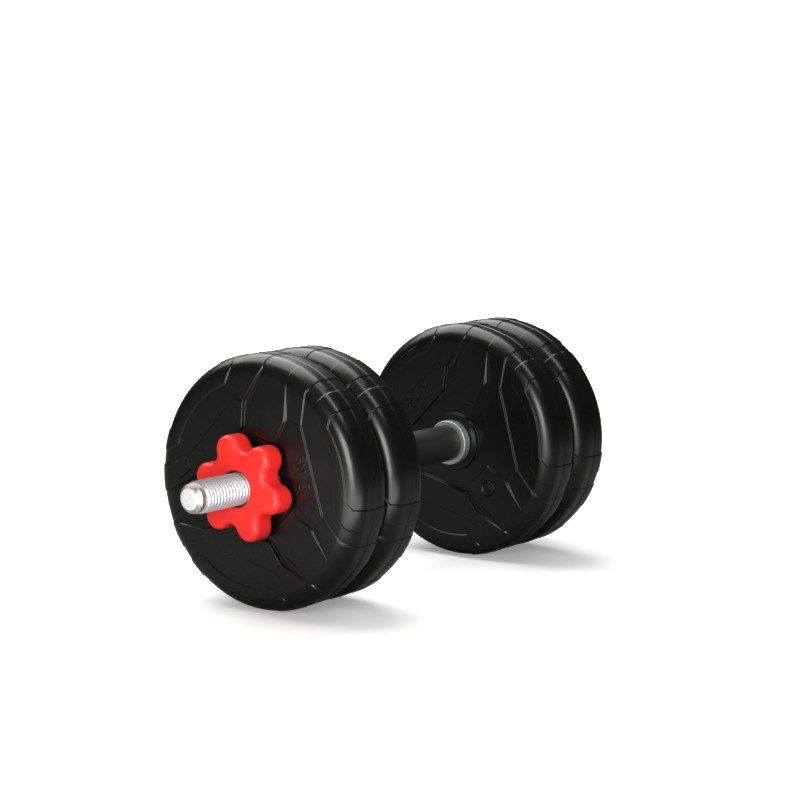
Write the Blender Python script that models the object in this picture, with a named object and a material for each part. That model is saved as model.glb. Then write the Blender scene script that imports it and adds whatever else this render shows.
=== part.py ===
"""Adjustable dumbbell: a threaded bar with a sleeve grip, four filled plates and two star nuts.

Metres, +Z up. The bar runs along X, the origin is on the floor under its middle, and the
plates stand on the floor with their rims. Left is -X and right is +X.
"""

import math

import bmesh
import bpy

# Bar, grip and fixed collars
BAR_LENGTH = 0.500
BAR_DIAMETER = 0.025
NOSE_DIAMETER = 0.0225
NOSE_LENGTH = 0.0065
NOSE_CHAMFER = 0.0028
NOSE_FACE_DIAMETER = 0.0165
GRIP_LENGTH = 0.1528
GRIP_WALL = 0.0024
GRIP_END_ROUND = 0.0012
COLLAR_WIDTH = 0.008
COLLAR_WALL = 0.006
COLLAR_CHAMFER = 0.001

# Plates: a blow-moulded shell, a cement core and the plug of the filling hole. The wall is
# measured under the highest part of the face, whose pattern is up to 3.1 mm deep.
PLATE_DIAMETER = 0.200
PLATE_THICKNESS = 0.0455
PLATE_RIM_ROUND = 0.0145
PLATE_WALL = 0.0048
PLATE_GAP = 0.0013
BORE_CLEARANCE = 0.0015
FILL_HOLE_DIAMETER = 0.012
FILL_HOLE_OFFSET = 0.033
FILL_HOLE_FROM_MARK = math.radians(180)
PLUG_RECESS = 0.0004
MARK_TURNS = {
    "inner_left": math.radians(15),
    "outer_left": math.radians(16.7),
    "inner_right": math.radians(45),
    "outer_right": math.radians(44),
}

# Star nut, its threaded insert and the rubber washer behind it
NUT_THICKNESS = 0.0197
NUT_LOBES = 6
NUT_TURNS = {"left": math.radians(48.5), "right": math.radians(12)}
NUT_TIP_RADIUS = 0.0415
LOBE_RADIUS = 0.0108
VALLEY_RADIUS = 0.0077
NUT_FRONT_ROUND = 0.005
NUT_BACK_ROUND = 0.003
NUT_STANDOFF = 0.0013
NUT_LIP = 0.003
NUT_LIP_CLEARANCE = 0.0017
INSERT_WALL = 0.0042
WASHER_THICKNESS = 0.003
WASHER_WIDTH = 0.009
WASHER_CLEARANCE = 0.001

# Clearance of pieces that touch, and the fineness of the round shapes
FIT_GAP = 0.0003
PLATE_STEPS = 48
CORE_STEPS = 32
ROUND_STEPS = 32
PLUG_STEPS = 16
RIM_ARC_STEPS = 4
CORE_ARC_STEPS = 2
EDGE_ARC_STEPS = 2
LOBE_ARC_STEPS = 5
VALLEY_ARC_STEPS = 3
WELD = 1e-6
SHARP_ANGLE = math.radians(35)

AXIS_HEIGHT = PLATE_DIAMETER / 2
BAR_RADIUS = BAR_DIAMETER / 2
BORE_RADIUS = BAR_RADIUS + BORE_CLEARANCE
TUBE_RADIUS = BORE_RADIUS + PLATE_WALL
LOBE_CENTRE = NUT_TIP_RADIUS - LOBE_RADIUS
RIM_ROUND = min(PLATE_RIM_ROUND, PLATE_THICKNESS / 2 - PLATE_WALL)
SIDES = {"left": -1, "right": 1}

# Where each piece starts along the bar, measured outwards from the middle
COLLAR_START = GRIP_LENGTH / 2 + FIT_GAP
INNER_PLATE_START = COLLAR_START + COLLAR_WIDTH + FIT_GAP
OUTER_PLATE_START = INNER_PLATE_START + PLATE_THICKNESS + PLATE_GAP
OUTER_FACE = OUTER_PLATE_START + PLATE_THICKNESS
WASHER_START = OUTER_FACE + FIT_GAP
NUT_START = OUTER_FACE + NUT_STANDOFF
NUT_RECESS_FLOOR = WASHER_START + WASHER_THICKNESS + FIT_GAP - NUT_START


def clear_scene():
    for thing in list(bpy.data.objects):
        bpy.data.objects.remove(thing)


def finish(name, colour, roughness, metallic=0.0):
    material = bpy.data.materials.new(name)
    material.use_nodes = True
    shader = material.node_tree.nodes["Principled BSDF"]
    shader.inputs["Base Color"].default_value = (*colour, 1.0)
    shader.inputs["Roughness"].default_value = roughness
    shader.inputs["Metallic"].default_value = metallic
    return material


def place(name, shape, material, x=0.0, side=1):
    """Makes the object of a closed shape, with its origin on the bar's axis at x."""
    bmesh.ops.remove_doubles(shape, verts=shape.verts, dist=WELD)
    bmesh.ops.recalc_face_normals(shape, faces=shape.faces)
    mesh = bpy.data.meshes.new(name)
    shape.to_mesh(mesh)
    shape.free()
    mesh.shade_smooth()
    mesh.set_sharp_from_angle(angle=SHARP_ANGLE)
    mesh.materials.append(material)
    piece = bpy.data.objects.new(name, mesh)
    piece.location = (side * x, 0.0, AXIS_HEIGHT)
    if side < 0:
        piece.rotation_euler = (0.0, 0.0, math.pi)
    bpy.context.scene.collection.objects.link(piece)
    return piece


def turned(profile, steps=ROUND_STEPS, closed=True, centre=(0.0, 0.0)):
    """A shape turned about X from its (x, radius) points; centre moves it off the axis."""
    shape = bmesh.new()
    points = [shape.verts.new((x, 0.0, -radius)) for x, radius in profile]
    following = points[1:] + points[:1] if closed else points[1:]
    edges = [shape.edges.new(pair) for pair in zip(points, following)]
    bmesh.ops.spin(
        shape, geom=points + edges, cent=(0, 0, 0), axis=(1, 0, 0),
        angle=math.tau, steps=steps, use_merge=True,
    )
    bmesh.ops.translate(shape, verts=shape.verts, vec=(0.0, *centre))
    return shape


def ring(start, end, inner, outer, chamfer=0.0):
    """The profile of a ring from start to end, with its outer corners cut off by chamfer."""
    corners = [(start, outer - chamfer), (start + chamfer, outer)]
    corners += [(end - chamfer, outer), (end, outer - chamfer)]
    if not chamfer:
        corners = [(start, outer), (end, outer)]
    return [(start, inner), *corners, (end, inner)]


def arc(centre_x, centre_r, radius, first, last, steps):
    """Points of an arc in a profile, its angles in degrees from +x towards +r."""
    angles = [math.radians(first + (last - first) * i / steps) for i in range(steps + 1)]
    return [(centre_x + radius * math.cos(a), centre_r + radius * math.sin(a)) for a in angles]


def plate_profile(inset, bore, arc_steps):
    """The section of a plate about its middle, every wall moved inwards by inset."""
    half = PLATE_THICKNESS / 2 - inset
    round_radius = RIM_ROUND - min(inset, RIM_ROUND / 2)
    centre_r = PLATE_DIAMETER / 2 - inset - round_radius
    right = arc(half - round_radius, centre_r, round_radius, 0, 90, arc_steps)
    left = arc(round_radius - half, centre_r, round_radius, 90, 180, arc_steps)
    return [(-half, bore), (half, bore), *right, *left]


def star_outline(inset, turn):
    """The star's outline, turned by turn and moved inwards by inset: (y, z) points round X."""
    between = math.pi / NUT_LOBES
    reach = LOBE_RADIUS + VALLEY_RADIUS
    along = LOBE_CENTRE * math.cos(between)
    across = LOBE_CENTRE * math.sin(between)
    valley_centre = along + math.sqrt(reach**2 - across**2)
    towards = math.atan2(across, valley_centre - along)
    lobe_half = between + towards
    points = []
    for lobe in range(NUT_LOBES):
        middle = turn + 2 * between * lobe
        for i in range(LOBE_ARC_STEPS + 1):
            a = middle + lobe_half * (2 * i / LOBE_ARC_STEPS - 1)
            radius = LOBE_RADIUS - inset
            y = LOBE_CENTRE * math.cos(middle) + radius * math.cos(a)
            z = LOBE_CENTRE * math.sin(middle) + radius * math.sin(a)
            points.append((y, z))
        valley = middle + between
        for i in range(1, VALLEY_ARC_STEPS):
            a = valley + math.pi + towards * (1 - 2 * i / VALLEY_ARC_STEPS)
            radius = VALLEY_RADIUS + inset
            y = valley_centre * math.cos(valley) + radius * math.cos(a)
            z = valley_centre * math.sin(valley) + radius * math.sin(a)
            points.append((y, z))
    return points


def lofted(stations):
    """A closed shape through stations, each an x and its round of (y, z) points."""
    shape = bmesh.new()
    loops = [[shape.verts.new((x, y, z)) for y, z in outline] for x, outline in stations]
    for near, far in zip(loops, loops[1:] + loops[:1]):
        for i in range(len(near)):
            j = (i + 1) % len(near)
            shape.faces.new((near[i], near[j], far[j], far[i]))
    return shape


def cut(piece, name, shape, x, side):
    """Cuts shape out of piece with a Boolean."""
    cutter = place(name, shape, piece.data.materials[0], x, side)
    cutter.hide_render = True
    cutter.display_type = "WIRE"
    modifier = piece.modifiers.new(name, "BOOLEAN")
    modifier.operation = "DIFFERENCE"
    modifier.object = cutter


def make_bar(steel):
    tip = BAR_LENGTH / 2
    nose = NOSE_DIAMETER / 2
    half = [
        (tip - NOSE_LENGTH - (BAR_RADIUS - nose), BAR_RADIUS),
        (tip - NOSE_LENGTH, nose),
        (tip - NOSE_CHAMFER, nose),
        (tip, NOSE_FACE_DIAMETER / 2),
        (tip, 0.0),
    ]
    profile = [(-x, r) for x, r in reversed(half)] + half
    place("threaded_bar", turned(profile, closed=False), steel)


def make_grip(rubber):
    inner = BAR_RADIUS + FIT_GAP
    profile = ring(-GRIP_LENGTH / 2, GRIP_LENGTH / 2, inner, inner + GRIP_WALL, GRIP_END_ROUND)
    place("grip_sleeve", turned(profile), rubber)


def make_collar(side_name, side, steel):
    inner = BAR_RADIUS + FIT_GAP
    profile = ring(0.0, COLLAR_WIDTH, inner, inner + COLLAR_WALL, COLLAR_CHAMFER)
    place(f"fixed_collar_{side_name}", turned(profile), steel, COLLAR_START, side)


def make_plate(name, start, side_name, side, plastic, cement):
    """A plate's shell, core and plug. MARK_TURNS gives how far the plate is turned on the bar,
    seen from outside; its filling hole is in the face towards the grip."""
    middle = start + PLATE_THICKNESS / 2
    shell_name = f"{name}_plate_shell_{side_name}"
    outside = turned(plate_profile(0.0, BORE_RADIUS, RIM_ARC_STEPS), PLATE_STEPS)
    shell = place(shell_name, outside, plastic, middle, side)
    cavity = turned(plate_profile(PLATE_WALL, TUBE_RADIUS, CORE_ARC_STEPS), CORE_STEPS)
    cut(shell, f"{shell_name}_cavity", cavity, middle, side)
    hole_radius = FILL_HOLE_DIAMETER / 2
    hole_turn = MARK_TURNS[f"{name}_{side_name}"] + FILL_HOLE_FROM_MARK
    hole_reach = TUBE_RADIUS + FILL_HOLE_OFFSET
    hole_at = (hole_reach * math.cos(hole_turn), hole_reach * math.sin(hole_turn))
    face = -PLATE_THICKNESS / 2
    hole = [(face - PLATE_WALL, 0.0), (face - PLATE_WALL, hole_radius)]
    hole += [(face + 1.5 * PLATE_WALL, hole_radius), (face + 1.5 * PLATE_WALL, 0.0)]
    hole_shape = turned(hole, PLUG_STEPS, closed=False, centre=hole_at)
    cut(shell, f"{shell_name}_hole", hole_shape, middle, side)
    core_section = plate_profile(PLATE_WALL + FIT_GAP, TUBE_RADIUS + FIT_GAP, CORE_ARC_STEPS)
    core = turned(core_section, CORE_STEPS)
    place(f"{name}_plate_core_{side_name}", core, cement, middle, side)
    plug_radius = hole_radius - FIT_GAP
    outer = face + PLUG_RECESS
    plug = [(outer, 0.0), (outer, plug_radius)]
    plug += [(face + PLATE_WALL, plug_radius), (face + PLATE_WALL, 0.0)]
    plug_shape = turned(plug, PLUG_STEPS, closed=False, centre=hole_at)
    place(f"{name}_plate_plug_{side_name}", plug_shape, plastic, middle, side)


def make_washer(side_name, side, rubber):
    inner = BAR_RADIUS + WASHER_CLEARANCE
    profile = ring(0.0, WASHER_THICKNESS, inner, inner + WASHER_WIDTH)
    place(f"rubber_washer_{side_name}", turned(profile), rubber, WASHER_START, side)


def make_nut(side_name, side, plastic, steel):
    """The star nut, with a recess for the washer and a pocket that holds the insert."""
    insert_inner = BAR_RADIUS + FIT_GAP
    insert_outer = insert_inner + INSERT_WALL
    pocket = insert_outer + FIT_GAP
    recess = BAR_RADIUS + WASHER_CLEARANCE + WASHER_WIDTH + FIT_GAP
    lip = NUT_THICKNESS - NUT_LIP
    turn = NUT_TURNS[side_name]
    outline = star_outline(0.0, turn)
    rays = [math.atan2(z, y) for y, z in outline]
    valley = min(math.hypot(y, z) for y, z in outline)
    back_round = min(NUT_BACK_ROUND, (valley - recess) / 2)

    def circle(radius):
        return [(radius * math.cos(a), radius * math.sin(a)) for a in rays]

    stations = [(0.0, circle(recess))]
    for x, rise in arc(back_round, 0.0, back_round, 180, 90, EDGE_ARC_STEPS):
        stations.append((x, star_outline(back_round - rise, turn)))
    front = NUT_THICKNESS - NUT_FRONT_ROUND
    for x, rise in arc(front, 0.0, NUT_FRONT_ROUND, 90, 0, EDGE_ARC_STEPS):
        stations.append((x, star_outline(NUT_FRONT_ROUND - rise, turn)))
    stations.append((NUT_THICKNESS, circle(BAR_RADIUS + NUT_LIP_CLEARANCE)))
    stations.append((lip, circle(BAR_RADIUS + NUT_LIP_CLEARANCE)))
    stations.append((lip, circle(pocket)))
    stations.append((NUT_RECESS_FLOOR, circle(pocket)))
    stations.append((NUT_RECESS_FLOOR, circle(recess)))
    place(f"star_nut_{side_name}", lofted(stations), plastic, NUT_START, side)
    profile = ring(NUT_RECESS_FLOOR + FIT_GAP, lip - FIT_GAP, insert_inner, insert_outer)
    place(f"threaded_insert_{side_name}", turned(profile), steel, NUT_START, side)


def main():
    clear_scene()
    zinc = finish("zinc_plated_steel", (0.62, 0.64, 0.66), 0.28, 1.0)
    black_plastic = finish("black_plastic", (0.012, 0.013, 0.012), 0.38)
    red_plastic = finish("red_plastic", (0.85, 0.012, 0.01), 0.4)
    black_rubber = finish("black_rubber", (0.015, 0.015, 0.016), 0.6)
    cement = finish("cement", (0.36, 0.35, 0.33), 0.9)
    make_bar(zinc)
    make_grip(black_rubber)
    for side_name, side in SIDES.items():
        make_collar(side_name, side, zinc)
        make_plate("inner", INNER_PLATE_START, side_name, side, black_plastic, cement)
        make_plate("outer", OUTER_PLATE_START, side_name, side, black_plastic, cement)
        make_washer(side_name, side, black_rubber)
        make_nut(side_name, side, red_plastic, zinc)


main()
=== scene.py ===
"""Adjustable dumbbell: the visible shapes and finishes of its pieces, and a plain studio.

Metres, +Z up. The bar runs along X above the floor, left is -X and right is +X. A piece of one
side is drawn in its own frame first: x outwards along the bar, y to the right and z up as someone
sees it who looks at that end of the dumbbell.
"""

import math

import bmesh
import bpy
import numpy as np
from bpy.props import FloatProperty, FloatVectorProperty, IntProperty, PointerProperty, StringProperty
from mathutils import Matrix, Vector
from mathutils.geometry import delaunay_2d_cdt


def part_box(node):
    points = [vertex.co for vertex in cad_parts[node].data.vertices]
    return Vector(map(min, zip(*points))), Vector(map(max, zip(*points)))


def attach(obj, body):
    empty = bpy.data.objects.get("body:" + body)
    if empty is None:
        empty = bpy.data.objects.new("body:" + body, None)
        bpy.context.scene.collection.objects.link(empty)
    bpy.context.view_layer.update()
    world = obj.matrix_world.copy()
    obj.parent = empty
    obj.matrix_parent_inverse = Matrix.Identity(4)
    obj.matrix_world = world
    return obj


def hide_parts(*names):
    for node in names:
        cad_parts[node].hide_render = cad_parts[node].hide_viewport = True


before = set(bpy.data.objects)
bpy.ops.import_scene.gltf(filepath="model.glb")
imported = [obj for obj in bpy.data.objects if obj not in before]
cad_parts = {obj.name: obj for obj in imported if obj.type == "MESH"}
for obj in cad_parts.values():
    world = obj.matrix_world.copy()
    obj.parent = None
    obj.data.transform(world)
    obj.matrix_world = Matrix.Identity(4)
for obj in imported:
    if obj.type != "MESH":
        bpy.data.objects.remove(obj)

bl_info = {
    "name": "Adjustable Dumbbell",
    "version": (1, 0, 0),
    "blender": (4, 5, 0),
    "location": "View3D > Sidebar > Dumbbell",
    "description": "Visible pieces of an adjustable dumbbell, built round its fixed frame",
    "category": "Object",
}

SIDES = {"left": -1, "right": 1}
WELD = 2e-6
SMOOTH_ANGLE = math.radians(40)
RING_STEPS = 96
WASHER_STEPS = 72
PLUG_STEPS = 48
NOSE_SOFTNESS = 0.0004
GRIP_EDGE = 0.0011
COLLAR_EDGE = 0.0009
WASHER_EDGE = 0.0007
PLUG_DOME = 0.0006
NUT_BORE_EDGE = 0.0012
NUT_SEAT_WIDTH = 0.006
FLOOR_RADIUS = 30.0
CARD_HEIGHT = 0.005

# Softboxes: size, brightness, azimuth and elevation in degrees, and distance.
SOFTBOXES = {
    "front_softbox": ((0.42, 0.6), 14.0, -60, 12, 1.3),
    "side_strip": ((0.25, 0.9), 8.0, -7, 62, 1.7),
    "overhead_softbox": ((1.8, 1.8), 4.2, 160, 62, 1.5),
}
# The card on the floor: size, brightness, azimuth in degrees, and distance.
FLOOR_CARD = ((0.8, 0.8), 4.0, -58, 0.75)


def reach(node):
    """How far a round node of the right side reaches: its start and end along the bar, and radius."""
    low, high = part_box(node)
    return low.x, high.x, (high.z - low.z) / 2


def bore_of(node):
    """The radius of the hole along the bar through a round node."""
    places = [vertex.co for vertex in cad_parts[node].data.vertices]
    return min(math.hypot(place.y, place.z - AXIS_HEIGHT) for place in places)


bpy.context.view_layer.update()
BAR_LOW, BAR_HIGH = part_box("threaded_bar")
AXIS_HEIGHT = (BAR_LOW.z + BAR_HIGH.z) / 2
BAR_RADIUS = (BAR_HIGH.z - BAR_LOW.z) / 2
BAR_TIP = BAR_HIGH.x
GRIP_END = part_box("grip_sleeve")[1].x
GRIP_RADIUS = reach("grip_sleeve")[2]
COLLAR_START, COLLAR_END, COLLAR_RADIUS = reach("fixed_collar_right")
PLATE_START, PLATE_END, PLATE_RADIUS = reach("outer_plate_shell_right")
PLATE_HALF = (PLATE_END - PLATE_START) / 2
PLATE_BORE = bore_of("outer_plate_shell_right")
CORE_START, CORE_END, CORE_RADIUS = reach("outer_plate_core_right")
CORE_HALF = (CORE_END - CORE_START) / 2
CORE_BORE = bore_of("outer_plate_core_right")
WASHER_START, WASHER_END, WASHER_RADIUS = reach("rubber_washer_right")
WASHER_BORE = bore_of("rubber_washer_right")
INSERT_START, _, INSERT_RADIUS = reach("threaded_insert_right")
NUT_START, NUT_END, _ = reach("star_nut_right")
NUT_BORE = bore_of("star_nut_right")


def a_length(name, description, metres, precision=4):
    return FloatProperty(
        name=name, description=description, default=metres, unit="LENGTH", precision=precision,
    )


def an_angle(name, description, degrees):
    return FloatProperty(
        name=name, description=description, default=math.radians(degrees), unit="ROTATION",
    )


def a_colour(name, description, shade):
    return FloatVectorProperty(
        name=name, description=description, size=3, default=shade,
        subtype="COLOR", min=0.0, max=1.0,
    )


class BarSettings(bpy.types.PropertyGroup):
    pitch: a_length("Pitch", "Distance between turns of the thread", 0.0035)
    thread_depth: a_length("Thread depth", "From the crest of the thread to its root", 0.0020)
    thread_start: a_length("Thread start", "Gap between a collar and the first turn", 0.0013)
    nose_length: a_length("Nose length", "Plain stretch at each end, past the thread", 0.0065)
    nose_radius: a_length("Nose radius", "Radius of the plain stretch at each end", 0.01125, 5)
    nose_chamfer: a_length("Nose chamfer", "Length of the cone that leads to the end face", 0.0028)
    face_radius: a_length("End face radius", "Radius of the flat face at each end", 0.00825, 5)
    columns: IntProperty(name="Columns", description="Faces round the bar", default=44)
    rows: IntProperty(name="Rows", description="Faces along one turn of the thread", default=16)


class PlateSettings(bpy.types.PropertyGroup):
    rim_round: a_length("Rim round", "Radius between a face and the rim", 0.0145)
    bore_round: a_length("Bore round", "Radius between a face and the bore", 0.001)
    panel_height: a_length("Panel height", "How far a panel stands above the face", 0.0013)
    rib_height: a_length("Rib height", "How far the ribs stand above the face", 0.0009)
    rim_rib_height: a_length("Rim rib height", "How far the ribs stand above the rim", 0.00055)
    rim_drop: a_length("Rim drop", "How far the rim between the ribs lies inside the diameter", 0.0008)
    groove_depth: a_length("Groove depth", "How far the grooves round the hub go into the face", 0.0018)
    bevel: a_length("Bevel", "Width of the sloping edges of the relief", 0.0010)
    softness: a_length("Softness", "Width over which an edge of the relief is rounded", 0.0002)
    seam_height: a_length("Seam height", "Height of the double seam round the rim", 0.00024, 5)
    mark: StringProperty(
        name="Weight mark", description="Raised figures on one panel of each face", default="3 kg",
    )
    mark_size: a_length("Mark size", "Height of the raised figures", 0.0165)
    mark_place: a_length("Mark place", "From the axis to the middle of the figures", 0.0495)
    mark_height: a_length("Mark height", "How far the figures stand above their panel", 0.0006, 5)
    fit_gap: a_length("Fit gap", "Clearance round the filling and the plug", 0.0003, 5)
    core_edge: a_length("Core edge", "Radius of the hollow's outer edges", 0.010)
    turns: FloatVectorProperty(
        name="Turns", description="How far each plate is turned on the bar, left to right",
        size=4, default=[math.radians(turn) for turn in (16.7, 15.0, 45.0, 44.0)],
        subtype="EULER", unit="ROTATION",
    )


class NutSettings(bpy.types.PropertyGroup):
    lobes: IntProperty(name="Lobes", description="Lobes of the star", default=6)
    tip_radius: a_length("Tip radius", "From the axis to the tip of a lobe", 0.0415)
    lobe_radius: a_length("Lobe radius", "Radius of a lobe's end", 0.0108)
    valley_radius: a_length("Valley radius", "Radius of the hollow between two lobes", 0.0077)
    front_round: a_length("Front round", "Radius of the front edge", 0.005)
    back_round: a_length("Back round", "Radius of the back edge", 0.003)
    lip: a_length("Lip", "Thickness of the lip in front of the insert", 0.003)
    fit_gap: a_length("Fit gap", "Clearance round the washer and the insert", 0.0003, 5)
    turn_left: an_angle("Left turn", "How far the left nut is turned", 48.5)
    turn_right: an_angle("Right turn", "How far the right nut is turned", 12)


class FinishSettings(bpy.types.PropertyGroup):
    plate: a_colour("Plates", "Colour of the moulded plates", (0.0024, 0.0028, 0.0019))
    nut: a_colour("Nuts", "Colour of the star nuts", (0.86, 0.020, 0.013))
    zinc: a_colour("Zinc", "Colour of the plated steel", (0.66, 0.67, 0.67))
    bare_steel: a_colour("Bare steel", "Colour of the cut ends of the bar", (0.56, 0.52, 0.47))
    sawn_face: a_colour("Sawn face", "Colour of the end faces of the bar", (0.74, 0.75, 0.74))
    # The inserts' near-black colour is painted shade: it darkens the ring round the bar inside each nut,
    # where shadow falls.
    dull_steel: a_colour("Dull steel", "Colour of the inserts inside the nuts", (0.09, 0.085, 0.08))
    rubber: a_colour("Rubber", "Colour of the grip and the washers", (0.016, 0.016, 0.015))
    cement: a_colour("Cement", "Colour of the filling of the plates", (0.36, 0.34, 0.31))


class StageSettings(bpy.types.PropertyGroup):
    azimuth: an_angle("Azimuth", "Angle of the camera round the dumbbell", -53.32)
    elevation: an_angle("Elevation", "Angle of the camera above the horizon", 8.07)
    distance: a_length("Distance", "From the camera to the point that it looks at", 1.8811)
    look_at: FloatVectorProperty(
        name="Look at", description="The point that the camera looks at",
        size=3, default=(0.0084, -0.0012, 0.1446), subtype="TRANSLATION", unit="LENGTH",
    )
    focal_length: FloatProperty(
        name="Focal length", description="Lens of the camera on a 36 mm sensor",
        default=102.9, unit="CAMERA",
    )
    floor_colour: a_colour("Floor", "Colour of the floor and of the air behind it", (0.93, 0.93, 0.925))


SETTINGS = {
    "dumbbell_bar": BarSettings,
    "dumbbell_plate": PlateSettings,
    "dumbbell_nut": NutSettings,
    "dumbbell_finish": FinishSettings,
    "dumbbell_stage": StageSettings,
}


# Finishes


class Finish:
    """A Principled material that is built up in layers on Object coordinates."""

    def __init__(self, name, colour, roughness, **constants):
        self.material = bpy.data.materials.new(name)
        self.material.use_nodes = True
        self.nodes = self.material.node_tree.nodes
        self.links = self.material.node_tree.links
        self.shader = self.nodes["Principled BSDF"]
        self.shader.inputs["Base Color"].default_value = (*colour, 1.0)
        self.shader.inputs["Roughness"].default_value = roughness
        for socket, value in constants.items():
            self.shader.inputs[socket.replace("_", " ")].default_value = value
        self.place = self.nodes.new("ShaderNodeTexCoord").outputs["Object"]
        self.colour = colour

    def stretched(self, scale):
        mapping = self.nodes.new("ShaderNodeMapping")
        mapping.inputs["Scale"].default_value = scale
        self.links.new(self.place, mapping.inputs["Vector"])
        return mapping.outputs["Vector"]

    def noise(self, grains_per_metre, detail=2.0, place=None):
        noise = self.nodes.new("ShaderNodeTexNoise")
        noise.inputs["Scale"].default_value = grains_per_metre
        noise.inputs["Detail"].default_value = detail
        self.links.new(place or self.place, noise.inputs["Vector"])
        return noise.outputs["Fac"]

    def spread(self, factor, low, high, start=0.3, end=0.7):
        """A value between low and high that follows factor."""
        spread = self.nodes.new("ShaderNodeMapRange")
        for socket, value in zip(spread.inputs[1:5], (start, end, low, high)):
            socket.default_value = value
        self.links.new(factor, spread.inputs["Value"])
        return spread.outputs["Result"]

    def vary_colour(self, factor, other):
        mix = self.nodes.new("ShaderNodeMix")
        mix.data_type = "RGBA"
        self.links.new(factor, mix.inputs["Factor"])
        mix_colour = [socket for socket in mix.inputs if socket.type == "RGBA"]
        mix_colour[0].default_value = (*self.colour, 1.0)
        mix_colour[1].default_value = (*other, 1.0)
        before = self.shader.inputs["Base Color"].links
        if before:
            self.links.new(before[0].from_socket, mix_colour[0])
        result = [socket for socket in mix.outputs if socket.type == "RGBA"][0]
        self.links.new(result, self.shader.inputs["Base Color"])

    def mottle(self, grains_per_metre, detail, other, most, start=0.3, end=0.7):
        """Spots that turn the colour towards other, by the share most where they are strongest."""
        spots = self.noise(grains_per_metre, detail)
        self.vary_colour(self.spread(spots, 0.0, most, start, end), other)

    def vary_roughness(self, grains_per_metre, detail, low, high):
        rubbed = self.spread(self.noise(grains_per_metre, detail), low, high)
        self.links.new(rubbed, self.shader.inputs["Roughness"])

    def bump(self, depth, *pattern):
        """Adds a noise depth metres deep to the bumps made so far."""
        bump = self.nodes.new("ShaderNodeBump")
        bump.inputs["Distance"].default_value = depth
        self.links.new(self.noise(*pattern), bump.inputs["Height"])
        before = self.shader.inputs["Normal"].links
        if before:
            self.links.new(before[0].from_socket, bump.inputs["Normal"])
        self.links.new(bump.outputs["Normal"], self.shader.inputs["Normal"])


def darker(colour, share):
    return tuple(part * share for part in colour)


def moulded_plastic(name, colour):
    """Satin blow-moulded skin: a fine orange peel over slow waves, with dusty and rubbed spots."""
    finish = Finish(name, colour, 0.3, Specular_IOR_Level=0.45)
    finish.mottle(55.0, 4.0, darker(colour, 1.5), 1.0)
    finish.vary_roughness(38.0, 5.0, 0.25, 0.34)
    finish.bump(0.0003, 24.0, 1.0)
    finish.bump(0.000035, 620.0, 3.0)
    return finish.material


def nut_plastic(name, colour):
    finish = Finish(name, colour, 0.46, Subsurface_Weight=0.06, Subsurface_Scale=0.004)
    finish.mottle(70.0, 3.0, darker(colour, 0.8), 0.35)
    finish.vary_roughness(45.0, 4.0, 0.41, 0.53)
    finish.bump(0.00012, 60.0, 1.0)
    finish.bump(0.00002, 900.0, 3.0)
    return finish.material


def plated_steel(name, colour):
    """Bright zinc, faintly cloudy."""
    finish = Finish(name, colour, 0.34, Metallic=0.75)
    finish.mottle(240.0, 4.0, darker(colour, 0.85), 0.5)
    finish.vary_roughness(160.0, 4.0, 0.3, 0.38)
    return finish.material


def cut_steel(name, colour):
    """The turned nose of the bar: bare and stained, with tool marks."""
    finish = Finish(name, colour, 0.45, Metallic=0.8)
    finish.mottle(380.0, 5.0, (0.16, 0.13, 0.1), 0.8, 0.42, 0.7)
    finish.vary_roughness(300.0, 4.0, 0.38, 0.52)
    finish.bump(0.00003, 1.0, 3.0, finish.stretched((2400.0, 220.0, 220.0)))
    return finish.material


def sawn_steel(name, colour):
    """The sawn end face of the bar: pale and matt, with slanted saw lines."""
    finish = Finish(name, colour, 0.6, Metallic=0.35)
    finish.mottle(350.0, 4.0, darker(colour, 0.6), 0.5, 0.5, 0.75)
    finish.vary_roughness(300.0, 4.0, 0.48, 0.62)
    finish.bump(0.00003, 1.0, 4.0, finish.stretched((200.0, 500.0, 3200.0)))
    return finish.material


def grip_rubber(name, colour):
    finish = Finish(name, colour, 0.46)
    finish.mottle(80.0, 4.0, darker(colour, 1.6), 1.0)
    finish.vary_roughness(60.0, 4.0, 0.4, 0.54)
    finish.bump(0.00004, 1100.0, 3.0)
    return finish.material


def cast_cement(name, colour):
    finish = Finish(name, colour, 0.9)
    finish.mottle(260.0, 6.0, darker(colour, 0.55), 1.0)
    finish.vary_roughness(200.0, 3.0, 0.82, 0.95)
    finish.bump(0.0006, 500.0, 6.0)
    return finish.material


FINISHES = {
    "plate": moulded_plastic,
    "nut": nut_plastic,
    "zinc": plated_steel,
    "bare_steel": cut_steel,
    "sawn_face": sawn_steel,
    # The inserts use the bare-steel finish, darkened to near black as painted shade for the recess in the
    # nuts.
    "dull_steel": cut_steel,
    "rubber": grip_rubber,
    "cement": cast_cement,
}


def finish_of(scene, name):
    """The material of that finish, made the first time it is asked for."""
    label = f"dumbbell_{name}"
    made = bpy.data.materials.get(label)
    return made or FINISHES[name](label, tuple(getattr(scene.dumbbell_finish, name)))


# Geometry Nodes


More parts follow.
